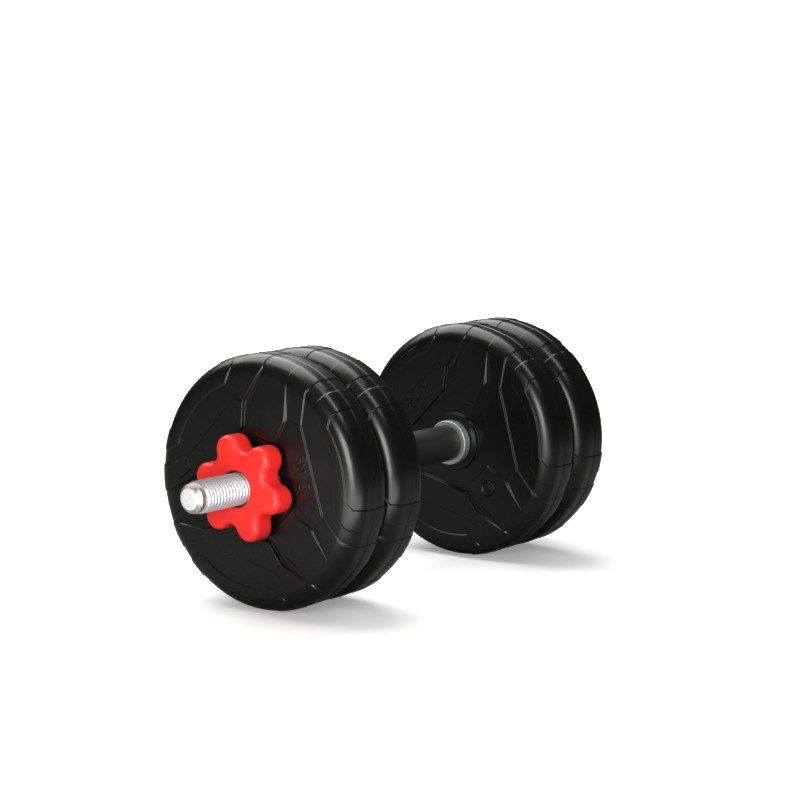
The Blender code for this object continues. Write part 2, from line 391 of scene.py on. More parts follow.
class Sums:
    """A Geometry Nodes tree with named inputs, whose maths is written as calls."""

    def __init__(self, name, inputs):
        self.tree = bpy.data.node_groups.new(name, "GeometryNodeTree")
        sockets = self.tree.interface
        sockets.new_socket("Geometry", in_out="INPUT", socket_type="NodeSocketGeometry")
        for label, kind in inputs.items():
            sockets.new_socket(label, in_out="INPUT", socket_type=f"NodeSocket{kind}")
        sockets.new_socket("Geometry", in_out="OUTPUT", socket_type="NodeSocketGeometry")
        self.given = self.node("NodeGroupInput").outputs

    def node(self, kind, **inputs):
        node = self.tree.nodes.new(kind)
        for label, value in inputs.items():
            self.feed(node.inputs[label.replace("_", " ")], value)
        return node

    def feed(self, socket, value):
        if isinstance(value, bpy.types.NodeSocket):
            self.tree.links.new(value, socket)
        else:
            socket.default_value = value

    def maths(self, operation, *values):
        node = self.tree.nodes.new("ShaderNodeMath")
        node.operation = operation
        for socket, value in zip(node.inputs, values):
            self.feed(socket, value)
        return node.outputs[0]

    def add(self, a, b):
        return self.maths("ADD", a, b)

    def less(self, a, b):
        return self.maths("SUBTRACT", a, b)

    def times(self, a, b):
        return self.maths("MULTIPLY", a, b)

    def over(self, a, b):
        return self.maths("DIVIDE", a, b)

    def share(self, value):
        """value, kept between 0 and 1."""
        return self.maths("MINIMUM", self.maths("MAXIMUM", value, 0.0), 1.0)

    def between(self, a, b, share):
        return self.add(a, self.times(self.less(b, a), share))

    def cosine(self, angle):
        return self.maths("COSINE", angle)

    def sine(self, angle):
        return self.maths("SINE", angle)

    def place(self):
        """x, y and z of a point."""
        position = self.node("GeometryNodeInputPosition").outputs[0]
        return self.node("ShaderNodeSeparateXYZ", Vector=position).outputs

    def move(self, geometry, x, radius, angle):
        """Puts each point of geometry at x along the axis and radius from it."""
        y = self.times(radius, self.cosine(angle))
        z = self.times(radius, self.sine(angle))
        spot = self.node("ShaderNodeCombineXYZ", X=x, Y=y, Z=z).outputs[0]
        return self.node("GeometryNodeSetPosition", Geometry=geometry, Position=spot).outputs[0]

    def finish(self, geometry):
        """Ends the tree: points merged, instances realized and the material set."""
        real = self.node("GeometryNodeRealizeInstances", Geometry=geometry).outputs[0]
        joined = self.node("GeometryNodeMergeByDistance", Geometry=real, Distance=WELD).outputs[0]
        painted = self.node(
            "GeometryNodeSetMaterial", Geometry=joined, Material=self.given["Material"]
        ).outputs[0]
        self.feed(self.node("NodeGroupOutput").inputs[0], painted)
        return self.tree


def thread_tree():
    """A screw thread along X: a grid whose rows follow the helix, rolled up into a tube."""
    sums = Sums("bar_thread", {
        "Start": "Float", "End": "Float", "Pitch": "Float", "Depth": "Float",
        "Crest Radius": "Float", "End Radius": "Float", "Columns": "Int", "Rows per Turn": "Int",
        "Material": "Material",
    })
    given = sums.given
    start, end, pitch = given["Start"], given["End"], given["Pitch"]
    columns, rows = given["Columns"], given["Rows per Turn"]
    turns = sums.add(sums.maths("CEIL", sums.over(sums.less(end, start), pitch)), 1.0)
    last_row = sums.times(turns, rows)
    grid = sums.node(
        "GeometryNodeMeshGrid", Size_X=columns, Size_Y=last_row,
        Vertices_X=sums.add(columns, 1.0), Vertices_Y=sums.add(last_row, 1.0),
    ).outputs[0]
    across, along, _ = sums.place()
    turned = sums.over(sums.add(across, sums.over(columns, 2.0)), columns)
    wound = sums.over(sums.add(along, sums.over(last_row, 2.0)), rows)
    raw = sums.add(start, sums.times(pitch, sums.less(sums.add(wound, turned), 1.0)))
    x = sums.maths("MINIMUM", sums.maths("MAXIMUM", raw, start), end)
    root_share, crest_share = 0.25, 0.875
    run_in_turns, run_out_turns = 0.5, 0.4
    wave = sums.maths("ABSOLUTE", sums.less(sums.times(sums.maths("FRACT", wound), 2.0), 1.0))
    tooth = sums.share(sums.over(sums.less(wave, root_share), crest_share - root_share))
    crest = given["Crest Radius"]
    radius = sums.less(crest, sums.times(given["Depth"], sums.less(1.0, tooth)))
    run_in = sums.share(sums.over(sums.less(x, start), sums.times(pitch, run_in_turns)))
    radius = sums.between(crest, radius, run_in)
    slope = sums.add(given["End Radius"], sums.less(end, x))
    radius = sums.maths("MINIMUM", radius, slope)
    run_out = sums.share(sums.over(sums.less(end, x), sums.times(pitch, run_out_turns)))
    radius = sums.between(given["End Radius"], radius, run_out)
    return sums.finish(sums.move(grid, x, radius, sums.times(turned, math.tau)))


def star_tree():
    """Draws a turned shape in to a star: its rim follows arcs for the lobes and the valleys."""
    sums = Sums("star_lobes", {
        "Lobes": "Int", "Turn": "Float", "Tip Radius": "Float", "Edge Round": "Float",
        "Round Inside": "Float", "Lobe Centre": "Float", "Lobe Radius": "Float",
        "Lobe Reach": "Float", "Valley Centre": "Float", "Valley Radius": "Float",
        "Material": "Material",
    })
    given = sums.given
    x, y, z = sums.place()
    angle = sums.maths("ARCTAN2", z, y)
    turned_radius = sums.maths("SQRT", sums.add(sums.times(y, y), sums.times(z, z)))
    half = sums.over(math.pi, given["Lobes"])
    whole = sums.times(half, 2.0)
    folded = sums.maths("FLOORED_MODULO", sums.add(sums.less(angle, given["Turn"]), half), whole)
    off_lobe = sums.maths("ABSOLUTE", sums.less(folded, half))
    off_valley = sums.less(half, off_lobe)
    depth = sums.maths("MINIMUM", sums.less(given["Tip Radius"], turned_radius), given["Edge Round"])
    lobe = sums.less(given["Lobe Radius"], depth)
    valley = sums.add(given["Valley Radius"], depth)
    centre, hollow = given["Lobe Centre"], given["Valley Centre"]

    def chord(distance, radius, off):
        """How far along a ray a circle lies on each side of the ray's foot, and that foot."""
        aside = sums.times(distance, sums.sine(off))
        inside = sums.less(sums.times(radius, radius), sums.times(aside, aside))
        return sums.maths("SQRT", sums.maths("MAXIMUM", inside, 0.0)), sums.times(distance, sums.cosine(off))

    past, foot = chord(centre, lobe, off_lobe)
    on_lobe = sums.add(foot, past)
    past, foot = chord(hollow, valley, off_valley)
    on_valley = sums.less(foot, past)
    switch = sums.maths(
        "ARCTAN2",
        sums.times(lobe, sums.sine(given["Lobe Reach"])),
        sums.add(centre, sums.times(lobe, sums.cosine(given["Lobe Reach"]))),
    )
    in_lobe = sums.maths("LESS_THAN", off_lobe, switch)
    star = sums.between(on_valley, on_lobe, in_lobe)
    inner = given["Round Inside"]
    flat_edge = sums.less(given["Tip Radius"], given["Edge Round"])
    share = sums.share(sums.over(sums.less(turned_radius, inner), sums.less(flat_edge, inner)))
    starred = sums.between(inner, star, share)
    is_round = sums.maths("LESS_THAN", turned_radius, inner)
    radius = sums.between(starred, turned_radius, is_round)
    return sums.finish(sums.move(given["Geometry"], x, radius, angle))


def ring_tree():
    """Repeats a wedge round the X axis."""
    sums = Sums("wedges_round_bar", {"Count": "Int", "Material": "Material"})
    count = sums.given["Count"]
    points = sums.node("GeometryNodePoints", Count=count).outputs[0]
    index = sums.node("GeometryNodeInputIndex").outputs[0]
    turn = sums.times(index, sums.over(math.tau, count))
    rotation = sums.node("ShaderNodeCombineXYZ", X=turn).outputs[0]
    wedges = sums.node(
        "GeometryNodeInstanceOnPoints", Points=points, Instance=sums.given["Geometry"],
        Rotation=rotation,
    ).outputs[0]
    return sums.finish(wedges)


def applied(holder):
    """The plain mesh that an unlinked object shows, which is removed."""
    bpy.context.scene.collection.objects.link(holder)
    graph = bpy.context.evaluated_depsgraph_get()
    mesh = bpy.data.meshes.new_from_object(holder.evaluated_get(graph), depsgraph=graph)
    bpy.data.objects.remove(holder)
    return mesh


def grown(tree, values, base=None):
    """The plain mesh that a node tree makes of base with these values."""
    holder = bpy.data.objects.new(tree.name, base or bpy.data.meshes.new(tree.name))
    modifier = holder.modifiers.new(tree.name, "NODES")
    modifier.node_group = tree
    for item in tree.interface.items_tree:
        if item.in_out == "INPUT" and item.name in values:
            modifier[item.identifier] = values[item.name]
    return applied(holder)


# Shapes


def arc(centre_x, centre_r, radius, first, last, steps):
    """Points of an arc in a profile, its angles in degrees from +x towards +r."""
    angles = [math.radians(first + (last - first) * i / steps) for i in range(steps + 1)]
    return [(centre_x + radius * math.cos(a), centre_r + radius * math.sin(a)) for a in angles]


def turned(profile, steps, closed=True):
    """A shape turned about X from its (x, radius) points."""
    shape = bmesh.new()
    points = [shape.verts.new((x, radius, 0.0)) for x, radius in profile]
    following = points[1:] + points[:1] if closed else points[1:]
    edges = [shape.edges.new(pair) for pair in zip(points, following)]
    bmesh.ops.spin(
        shape, geom=points + edges, cent=(0, 0, 0), axis=(1, 0, 0),
        angle=math.tau, steps=steps, use_merge=True,
    )
    return shape


def ring_profile(start, end, inner, outer, edge, steps=5):
    """A ring's section whose four edges are rounded by edge."""
    section = arc(end - edge, outer - edge, edge, 90, 0, steps)
    section += arc(end - edge, inner + edge, edge, 0, -90, steps)
    section += arc(start + edge, inner + edge, edge, -90, -180, steps)
    section += arc(start + edge, outer - edge, edge, 180, 90, steps)
    return section


def paint_all(mesh, slot):
    """Gives every face of mesh the material of one slot."""
    mesh.polygons.foreach_set("material_index", [slot] * len(mesh.polygons))


def mesh_of(shape, name="shape"):
    mesh = bpy.data.meshes.new(name)
    shape.to_mesh(mesh)
    shape.free()
    return mesh


def add(shape, mesh, put):
    """Adds a copy of mesh to a shape, placed by put."""
    copy = mesh.copy()
    copy.transform(put)
    shape.from_mesh(copy)
    bpy.data.meshes.remove(copy)


def outwards(shape):
    """Merges the points of a closed shape and turns its faces outwards."""
    bmesh.ops.remove_doubles(shape, verts=shape.verts, dist=WELD)
    bmesh.ops.dissolve_degenerate(shape, edges=shape.edges, dist=WELD)
    bmesh.ops.recalc_face_normals(shape, faces=shape.faces)
    return shape


def closed_up(shape, name, *materials, hollow=None):
    """The mesh of a closed shape, its faces outwards, round the mesh of a hollow."""
    outwards(shape)
    if hollow:
        shape.from_mesh(hollow)
    mesh = mesh_of(shape, name)
    for material in materials:
        mesh.materials.append(material)
    mesh.shade_smooth()
    return mesh


def crisp(shape, name, *materials):
    """The mesh of a closed shape, shaded sharp where it turns by more than SMOOTH_ANGLE."""
    mesh = closed_up(shape, name, *materials)
    mesh.set_sharp_from_angle(angle=SMOOTH_ANGLE)
    return mesh


def on_side(mesh, side, x=0.0, turn=0.0):
    """A copy of mesh, turned on the bar and put x along it on that side of the dumbbell."""
    put = Matrix.Translation((side * x, 0.0, AXIS_HEIGHT))
    if side < 0:
        put = put @ Matrix.Rotation(math.pi, 4, "Z")
    copy = mesh.copy()
    copy.transform(put @ Matrix.Rotation(turn, 4, "X"))
    return copy


def piece(name, mesh, body, slot, *nodes):
    """Shows mesh as a piece that rides on body and stands for nodes."""
    shown = bpy.data.objects.new(name, mesh)
    bpy.context.scene.collection.objects.link(shown)
    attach(shown, body)
    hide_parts(*nodes)
    return shown


# The relief of a plate, drawn on its skin rolled out flat: x is along the middle of a panel


def spot(radius, degrees):
    """A point of the relief, by its distance from the bore's middle and its angle from a panel's."""
    return Vector((radius * math.cos(math.radians(degrees)), radius * math.sin(math.radians(degrees))))


def sweep(radius, first, last):
    """Points of an arc about the bore's middle, about 2 degrees apart."""
    steps = max(1, round(abs(last - first) / 2))
    return [spot(radius, first + (last - first) * i / steps) for i in range(steps + 1)]


def mirrored(half, about=0.0):
    """half and its mirror image in the line at about degrees, as one counter-clockwise outline."""
    angle = math.radians(2 * about)
    across = Matrix(((math.cos(angle), math.sin(angle)), (math.sin(angle), -math.cos(angle))))
    outline = half + [across @ point for point in reversed(half)]
    area = sum(a.cross(b) for a, b in zip(outline, outline[1:] + outline[:1]))
    return outline if area > 0 else outline[::-1]


def moved_corner(before, corner, after, first, second):
    """corner, moved until it lies first inside the edge before it and second inside the one after."""
    one = (corner - before).normalized().orthogonal()
    two = (after - corner).normalized().orthogonal()
    across = one.cross(two)
    if abs(across) < 1e-3:
        return corner + one * first
    x = (first * two.y - second * one.y) / across
    y = (second * one.x - first * two.x) / across
    return corner + Vector((x, y))


def inset(outline, distance):
    """A counter-clockwise outline moved inwards by distance."""
    return [
        moved_corner(outline[i - 1], corner, outline[(i + 1) % len(outline)], distance, distance)
        for i, corner in enumerate(outline)
    ]


def stepped(outlines, step):
    """Closed lines along outlines that match corner by corner, all split alike into steps."""
    lines = [outline[:1] for outline in outlines]
    first = outlines[0]
    for i, corner in enumerate(first):
        after = (i + 1) % len(first)
        count = max(1, round((first[after] - corner).length / step))
        for line, outline in zip(lines, outlines):
            line += [outline[i].lerp(outline[after], part / count) for part in range(1, count + 1)]
    return lines


def depth_inside(outline, points):
    """How far each point lies inside an outline, negative outside it."""
    starts = np.array([tuple(corner) for corner in outline])
    runs = np.roll(starts, -1, axis=0) - starts
    nearest = np.full(len(points), np.inf)
    crossings = np.zeros(len(points), int)
    for start, run in zip(starts, runs):
        offset = points - start
        along = np.clip(offset @ run / (run @ run), 0.0, 1.0)
        nearest = np.minimum(nearest, np.hypot(*(offset - along[:, None] * run).T))
        straddles = (offset[:, 1] < 0) != (offset[:, 1] < run[1])
        slope = run[0] / run[1] if run[1] else 0.0
        crossings += straddles & (offset[:, 0] < offset[:, 1] * slope)
    return np.where(crossings % 2, nearest, -nearest)


class Relief:
    """The ribs, panels and grooves of a plate's face, in one twelfth of it."""

    WEDGE = 60.0
    HUB_RADIUS = 0.0245
    PANEL_CORNERS = ((0.0685, 30.5), (0.0645, 38.0), (0.0445, 32.0))
    RIB_EDGE_NEAR = (0.0911, 39.5)
    RIB_EDGE_FAR = (0.0911, 52.0)
    RIB_RIM_ANGLES = (40.0, 52.5)
    BAND_RADII = (0.0805, 0.0880)
    BAND_HALF_ANGLES = (26.0, 18.5)
    BAND_TURNS = ((0.0911, 32.0), (0.0952, 22.5))
    BAND_RIM_ANGLES = (33.0, 23.0)
    PETAL_CORNERS = ((0.038, 42.0), (0.0625, 43.0), (0.087, 52.0))
    PETAL_SLOPE = 0.003
    GROOVE_RADII = (0.064, 0.088)
    SEAM_OFFSET = 0.00075
    SEAM_WIDTH = 0.0008
    UNDER_PANEL = 0.006
    PAST_RIM = 0.005
    BORE_EDGE = 0.010
    LINE_STEP = 0.002
    LINE_OVERLAP = 4.0
    GROOVE_FAR_ANGLES = (68.0, 75.0)
    FILL_START = 0.028
    FILL_STEP = 0.003
    FILL_MARGIN = 0.001
    RIM_MARGIN = 0.002

    def __init__(self, plate):
        self.plate = plate
        self.round = plate.rim_round
        self.flat_end = PLATE_RADIUS - self.round
        self.round_end = self.flat_end + self.round * math.pi / 2
        self.land = PLATE_HALF - self.round
        self.rim = self.round_end + self.land
        self.bore_flat = PLATE_BORE + plate.bore_round
        self.bore_edge = self.bore_flat - plate.bore_round * math.pi / 2
        self.features = [
            self.petal(), self.band(), self.rib(), self.panel(), self.hub(),
        ]
        self.groove = self.groove_outline()

    def with_bevel(self, outline, level):
        """An outline with the foot and the top of its sloping edge half a bevel to each side."""
        half = self.plate.bevel / 2
        return inset(outline, -half), inset(outline, half), level

    def petal(self):
        """A leaf at the height of the face between two grooves, its outer sides sloping more gently."""
        bevel = self.plate.bevel
        inner, elbow, tip = [spot(*corner) for corner in self.PETAL_CORNERS]
        side = (elbow - inner).normalized()
        top_inner = inner + side * bevel + side.orthogonal() * bevel
        top_elbow = moved_corner(inner, elbow, tip, bevel, self.PETAL_SLOPE)
        foot, top = [inner, elbow, tip], [top_inner, top_elbow, tip]
        return mirrored(foot, self.WEDGE), mirrored(top, self.WEDGE), 0.0

    def band(self):
        low, high = self.BAND_RADII
        low_angle, high_angle = self.BAND_HALF_ANGLES
        near, far = self.BAND_TURNS
        half = [spot(high, angle) for angle in np.linspace(0.0, high_angle, 10)]
        half += [spot(*far)]
        half += [spot(self.rim + self.PAST_RIM, angle) for angle in reversed(self.BAND_RIM_ANGLES)]
        half += [spot(*near)]
        half += [spot(low, angle) for angle in np.linspace(low_angle, 0.0, 14)]
        other = [Vector((point.x, -point.y)) for point in reversed(half[1:-1])]
        outline = half + other
        return self.with_bevel(outline, self.plate.rib_height)

    def rib(self):
        corner, shoulder, _ = [spot(*corner) for corner in self.PANEL_CORNERS]
        near, far = spot(*self.RIB_EDGE_NEAR), spot(*self.RIB_EDGE_FAR)
        outline = [corner - (near - corner).normalized() * self.UNDER_PANEL, near]
        outline += [spot(self.rim + self.PAST_RIM, angle) for angle in self.RIB_RIM_ANGLES]
        outline += [far, shoulder - (far - shoulder).normalized() * self.UNDER_PANEL]
        return self.with_bevel(outline, self.plate.rib_height)

    def panel(self):
        outline = mirrored([spot(*corner) for corner in self.PANEL_CORNERS])
        return self.with_bevel(outline, self.plate.panel_height)

    def hub(self):
        outline = sweep(self.HUB_RADIUS, 0.0, 360.0)[:-1]
        return self.with_bevel(outline, self.plate.panel_height)

    def groove_outline(self):
        shoulder = spot(*self.PANEL_CORNERS[1])
        inner = self.bore_flat
        under = (shoulder.length + self.PANEL_CORNERS[2][0]) / 2
        half_width = self.WEDGE / 6
        outline = [spot(inner, -half_width), spot(under, -half_width), spot(under, half_width)]
        outline += [shoulder, spot(*self.RIB_EDGE_FAR)]
        at_rim, at_hub = self.GROOVE_FAR_ANGLES
        return outline + [spot(self.RIB_EDGE_FAR[0], at_rim), spot(under, at_hub), spot(inner, at_hub)]

    def towards_rim(self, drawn):
        """0 on the flat face and 1 on the rim, for distances on the drawing."""
        return np.clip((drawn - self.flat_end) / (self.round_end - self.flat_end), 0.0, 1.0)

    def levels(self, points):
        """How far each point stands above the face."""
        radii = np.hypot(*points.T)
        low, high = self.GROOVE_RADII
        depth = -self.plate.groove_depth * np.clip((high - radii) / (high - low), 0.0, 1.0)
        on_line = 0.6 * self.plate.bevel
        level = np.where(depth_inside(self.groove, points) > -on_line, depth, 0.0)
        towards_rim = self.towards_rim(radii)
        lower = 1 + (self.plate.rim_rib_height / self.plate.rib_height - 1) * towards_rim
        for foot, top, height in self.features:
            past_foot = np.maximum(depth_inside(foot, points), 0.0)
            to_top = np.maximum(-depth_inside(top, points), 0.0)
            reached = past_foot / np.maximum(past_foot + to_top, 1e-9)
            level += (height * lower - level) * reached**2 * (3 - 2 * reached)
        from_seam = np.abs(self.rim - self.SEAM_OFFSET - radii) / (self.SEAM_WIDTH / 2)
        return level + self.plate.seam_height * np.clip(1.5 - 1.5 * from_seam, 0.0, 1.0)

    def rings(self):
        """Radii of the circles that the skin is divided along, from the bore to the rim."""
        edge = self.HUB_RADIUS
        bevel, soft = self.plate.bevel, self.plate.softness
        seam, width = self.rim - self.SEAM_OFFSET, self.SEAM_WIDTH
        bore = [self.BORE_EDGE, *np.linspace(self.bore_edge, self.bore_flat, 4)]
        hub = [edge + bevel / 2 + soft, edge - bevel / 2 - soft]
        hub += [edge + bevel * share for share in (-0.5, -0.25, 0.25, 0.5)]
        turn = [seam - width / 2 - soft, seam - width / 2, seam - width / 6]
        turn += [seam + width / 6, seam + width / 2, self.rim]
        return bore, hub, turn

    def lines(self):
        """The lines that the triangles of the skin must follow."""
        soft = self.plate.softness
        for foot, top, _ in self.features[:-1]:
            shoulders = [[a.lerp(b, share) for a, b in zip(foot, top)] for share in (0.25, 0.75)]
            slope = [inset(foot, -soft), foot, *shoulders, top, inset(top, soft)]
            yield from stepped(slope, self.LINE_STEP)
        for radius in [radius for group in self.rings() for radius in group]:
            yield sweep(radius, -self.LINE_OVERLAP, self.WEDGE + self.LINE_OVERLAP)
        for angle in (0.0, self.WEDGE):
            yield [spot(self.BORE_EDGE, angle), spot(self.rim, angle)]

    def filling(self):
        """Points between the lines, closer together where the skin is curved."""
        flat = np.arange(self.FILL_START, self.flat_end - self.FILL_MARGIN, self.FILL_STEP)
        radii = [(radius, 3.0) for radius in flat]
        radii += [(radius, 1.5) for radius in np.linspace(self.flat_end, self.round_end, 15)]
        radii += [(radius, 1.5) for radius in np.linspace(self.round_end, self.rim - self.RIM_MARGIN, 4)[1:]]
        points = []
        for row, (radius, step) in enumerate(radii):
            step = max(step, math.degrees(self.FILL_STEP / radius)) if step > 2 else step
            columns = round(self.WEDGE / step)
            shift = 0.5 * (row % 2)
            angles = [(column + shift) * self.WEDGE / columns for column in range(columns + 1)]
            points += [spot(radius, angle) for angle in angles if angle <= self.WEDGE]
        spots = np.array([tuple(point) for point in points])
        clear = np.ones(len(spots), bool)
        for foot, top, _ in self.features:
            for outline in (foot, top):
                clear &= np.abs(depth_inside(outline, spots)) > 3 * self.plate.softness
        return [point for point, kept in zip(points, clear) if kept]

    def skin(self):
        """Points and triangles of the flat drawing: the half of a wedge beside a panel's middle."""
        points, edges = self.filling(), []
        for line in self.lines():
            first = len(points)
            points += line
            edges += [(i, i + 1) for i in range(first, len(points) - 1)]
        flat, _, triangles, *_ = delaunay_2d_cdt(points, edges, [], 0, 1e-6)
        flat = np.array([tuple(point) for point in flat])
        triangles = np.array(triangles)
        middles = flat[triangles].mean(axis=1)
        radii = np.hypot(*middles.T)
        angles = np.degrees(np.arctan2(middles[:, 1], middles[:, 0]))
        kept = (angles > 0) & (angles < self.WEDGE) & (radii > self.BORE_EDGE) & (radii < self.rim - 1e-5)
        return flat, triangles[kept]

    def roll_up(self, flat):
        """Puts the flat drawing's points on the plate, in a frame at its middle."""
        drawn = np.hypot(*flat.T)
        angles = np.arctan2(flat[:, 1], flat[:, 0])
        plate = self.plate
        drop = plate.panel_height + (plate.rim_drop - plate.panel_height) * self.towards_rim(drawn)
        lift = self.levels(flat) - drop
        round_radius, bore_round = self.round + lift, plate.bore_round
        bend = np.clip((drawn - self.flat_end) / self.round, 0.0, math.pi / 2)
        dip = np.clip((self.bore_flat - drawn) / bore_round, 0.0, math.pi / 2)
        down_bore = np.clip((self.bore_edge - drawn) / (self.bore_edge - self.BORE_EDGE), 0.0, 1.0)
        past_round = np.clip(drawn - self.round_end, 0.0, self.land)
        x = self.land - past_round + round_radius * np.cos(bend) - bore_round * (1 - np.cos(dip))
        x = x * (1 - down_bore)
        radius = np.clip(drawn, self.bore_flat, self.flat_end)
        radius = radius + round_radius * np.sin(bend) - bore_round * np.sin(dip)
        return np.stack([x, radius * np.cos(angles), radius * np.sin(angles)], axis=1)

    def wedge(self, name):
        """Both faces of a third of the plate, as a mesh."""
        flat, triangles = self.skin()
        points = self.roll_up(flat)
        all_points, all_triangles = [], []
        for x_sign in (1, -1):
            for z_sign in (1, -1):
                way = 1 if x_sign * z_sign > 0 else -1
                all_triangles.append(triangles[:, ::way] + len(points) * len(all_points))
                all_points.append(points * (x_sign, 1.0, z_sign))
        mesh = bpy.data.meshes.new(name)
        mesh.from_pydata(np.concatenate(all_points).tolist(), [], np.concatenate(all_triangles).tolist())
        return mesh


def hollow_of(gap, edge):
    """The mesh of the hollow of a shell, gap outside its filling, its faces towards the filling."""
    half, rim, bore = CORE_HALF + gap, CORE_RADIUS + gap, CORE_BORE - gap
    section = [(-half, bore), (half, bore)]
    section += arc(half - edge, rim - edge, edge, 0, 90, 6)
    section += arc(edge - half, rim - edge, edge, 90, 180, 6)
    shape = outwards(turned(section, RING_STEPS))
    bmesh.ops.reverse_faces(shape, faces=shape.faces)
    return mesh_of(shape)


def drilled(mesh, middle, radius, start, end):
    """mesh with a round hole through it along X, from start to end."""
    section = [(start, 0.0), (start, radius), (end, radius), (end, 0.0)]
    shape = turned(section, PLUG_STEPS, closed=False)
    drill_mesh = mesh_of(outwards(shape))
    drill_mesh.transform(Matrix.Translation((0.0, middle.y, middle.z)))
    drill = bpy.data.objects.new("drill", drill_mesh)
    bpy.context.scene.collection.objects.link(drill)
    holder = bpy.data.objects.new(mesh.name, mesh)
    cut = holder.modifiers.new("filling_hole", "BOOLEAN")
    cut.operation = "DIFFERENCE"
    cut.solver = "EXACT"
    cut.object = drill
    result = applied(holder)
    bpy.data.objects.remove(drill)
    return result


def weight_mark(plate):
    """The raised figures on the panel to the right of the bore, their tops towards it."""
    text = bpy.data.curves.new("weight_mark", "FONT")
    text.body = plate.mark
    text.size = plate.mark_size
    text.align_x = "CENTER"
    text.align_y = "CENTER"
    text.extrude = plate.mark_height / 2
    text.bevel_depth = plate.mark_height / 2
    text.bevel_resolution = 1
    mesh = applied(bpy.data.objects.new("weight_mark", text))
    # Columns: where the text's right, up and front point in the plate's own frame.
    upright = Matrix(((0, 0, 1, 0), (0, -1, 0, 0), (1, 0, 0, 0), (0, 0, 0, 1)))
    put = Matrix.Translation((PLATE_HALF, plate.mark_place, 0.0)) @ upright
    mesh.transform(put)
    return mesh


class DUMBBELL_OT_bar(bpy.types.Operator):
    """Make the bar with a thread at each end"""

    bl_idname = "dumbbell.bar"
    bl_label = "Threaded Bar"

    def execute(self, context):
        bar = context.scene.dumbbell_bar
        start = COLLAR_END + bar.thread_start
        end = BAR_TIP - bar.nose_length
        finishes = [finish_of(context.scene, name) for name in ("zinc", "bare_steel", "sawn_face")]
        thread = grown(thread_tree(), {
            "Start": start, "End": end, "Pitch": bar.pitch, "Depth": bar.thread_depth,
            "Crest Radius": BAR_RADIUS, "End Radius": bar.nose_radius, "Columns": bar.columns,
            "Rows per Turn": bar.rows, "Material": finishes[0],
        })
        paint_all(thread, 0)
        soft = NOSE_SOFTNESS
        nose = [(end, bar.nose_radius), (BAR_TIP - bar.nose_chamfer, bar.nose_radius)]
        nose += [(BAR_TIP - soft, bar.face_radius + soft), (BAR_TIP - soft / 4, bar.face_radius)]
        nose += [(BAR_TIP, bar.face_radius - soft), (BAR_TIP, bar.face_radius / 2), (BAR_TIP, 0.0)]
        shape = turned([(-start, BAR_RADIUS), (start, BAR_RADIUS)], bar.columns, closed=False)
        for side in SIDES.values():
            end_shape = turned(nose, bar.columns, closed=False)
            for face in end_shape.faces:
                inside = face.calc_center_median().x > BAR_TIP - soft / 2
                face.material_index = 2 if inside else 1
            add(shape, mesh_of(end_shape), Matrix.Rotation(0.0 if side > 0 else math.pi, 4, "Z"))
            add(shape, thread, Matrix.Rotation(0.0 if side > 0 else math.pi, 4, "Z"))
        mesh = crisp(shape, "bar_with_thread", *finishes)
        piece("bar_with_thread", on_side(mesh, 1), "bar", "bar", "threaded_bar")
        return {"FINISHED"}


class DUMBBELL_OT_grip(bpy.types.Operator):
    """Make the grip sleeve and the fixed collars at its ends"""

    bl_idname = "dumbbell.grip"
    bl_label = "Grip and Collars"

    def execute(self, context):
        scene = context.scene
        bore = bore_of("grip_sleeve")
        section = ring_profile(-GRIP_END, GRIP_END, bore, GRIP_RADIUS, GRIP_EDGE)
        mesh = crisp(turned(section, RING_STEPS), "grip", finish_of(scene, "rubber"))
        piece("grip", on_side(mesh, 1), "bar", "grip", "grip_sleeve")
        collar_bore = bore_of("fixed_collar_right")
        width = COLLAR_END - COLLAR_START
        section = ring_profile(0.0, width, collar_bore, COLLAR_RADIUS, COLLAR_EDGE)
        mesh = crisp(turned(section, RING_STEPS), "collar", finish_of(scene, "zinc"))
        for name, side in SIDES.items():
            placed = on_side(mesh, side, COLLAR_START)
            piece(f"collar_{name}", placed, "bar", "collar", f"fixed_collar_{name}")
        return {"FINISHED"}


class DUMBBELL_OT_plates(bpy.types.Operator):
    """Make the moulded shells of the four plates, with their relief and weight marks"""

    bl_idname = "dumbbell.plates"
    bl_label = "Plate Shells"

    def execute(self, context):
        plate = context.scene.dumbbell_plate
        plastic = finish_of(context.scene, "plate")
        wedge = Relief(plate).wedge("plate_wedge")
        skin = grown(ring_tree(), {"Count": 3, "Material": plastic}, wedge)
        mark = weight_mark(plate)
        hollow = hollow_of(plate.fit_gap, plate.core_edge)
        turns = dict(zip(("outer_left", "inner_left", "inner_right", "outer_right"), plate.turns))
        for key, turn in turns.items():
            place, side_name = key.split("_")
            node = f"{place}_plate_shell_{side_name}"
            low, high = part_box(node)
            shape = bmesh.new()
            shape.from_mesh(skin)
            add(shape, mark, Matrix.Identity(4))
            add(shape, mark, Matrix.Rotation(math.pi, 4, "Y"))
            mesh = closed_up(shape, f"{place}_plate_{side_name}", plastic, hollow=hollow)
            side = SIDES[side_name]
            placed = on_side(mesh, side, abs(low.x + high.x) / 2, turn)
            plug_low, plug_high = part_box(f"{place}_plate_plug_{side_name}")
            radius = (plug_high.z - plug_low.z) / 2 + plate.fit_gap
            face = low.x if side > 0 else high.x
            core_face = (low.x + high.x) / 2 - side * CORE_HALF
            reach_out = side * plate.panel_height
            placed = drilled(placed, (plug_low + plug_high) / 2, radius, face - reach_out, core_face)
            piece(f"{place}_plate_{side_name}", placed, f"{place}_plate_{side_name}", "plate_shell", node)
        return {"FINISHED"}


